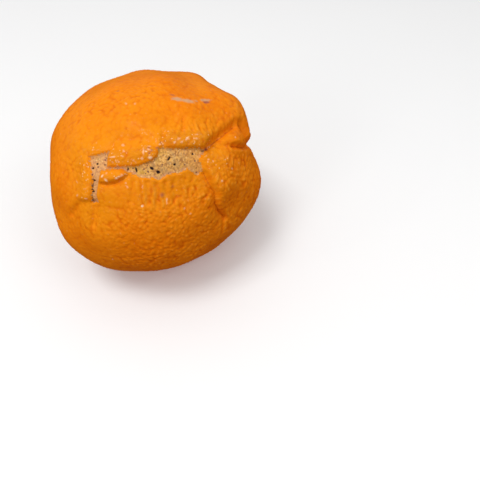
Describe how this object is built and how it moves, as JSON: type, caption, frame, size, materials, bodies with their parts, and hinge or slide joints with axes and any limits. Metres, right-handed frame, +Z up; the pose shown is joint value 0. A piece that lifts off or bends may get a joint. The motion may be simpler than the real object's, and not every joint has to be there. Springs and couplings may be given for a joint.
{
  "type": "tangerine",
  "caption": "Whole lumpy thick-skinned tangerine with folds at the stem end, a healed corky scar and a dry stem button, lying on a small flat spot.",
  "frame": {"origin": "middle of the small flat spot that the fruit rests on", "axes": "+Z up out of the resting surface, +X along the fruit's length towards the stem end, -Y towards the scarred side"},
  "size_m": [0.0689, 0.0678, 0.0661],
  "materials": {
    "rind": "waxy semi-gloss orange citrus rind, pebbled with oil glands, with a matt tan corky scar",
    "dry_button": "dry matt green-brown calyx with a pale broken stalk"
  },
  "bodies": {
    "root": {"fruit": "rind", "stem_button": "dry_button"}
  },
  "joints": []
}
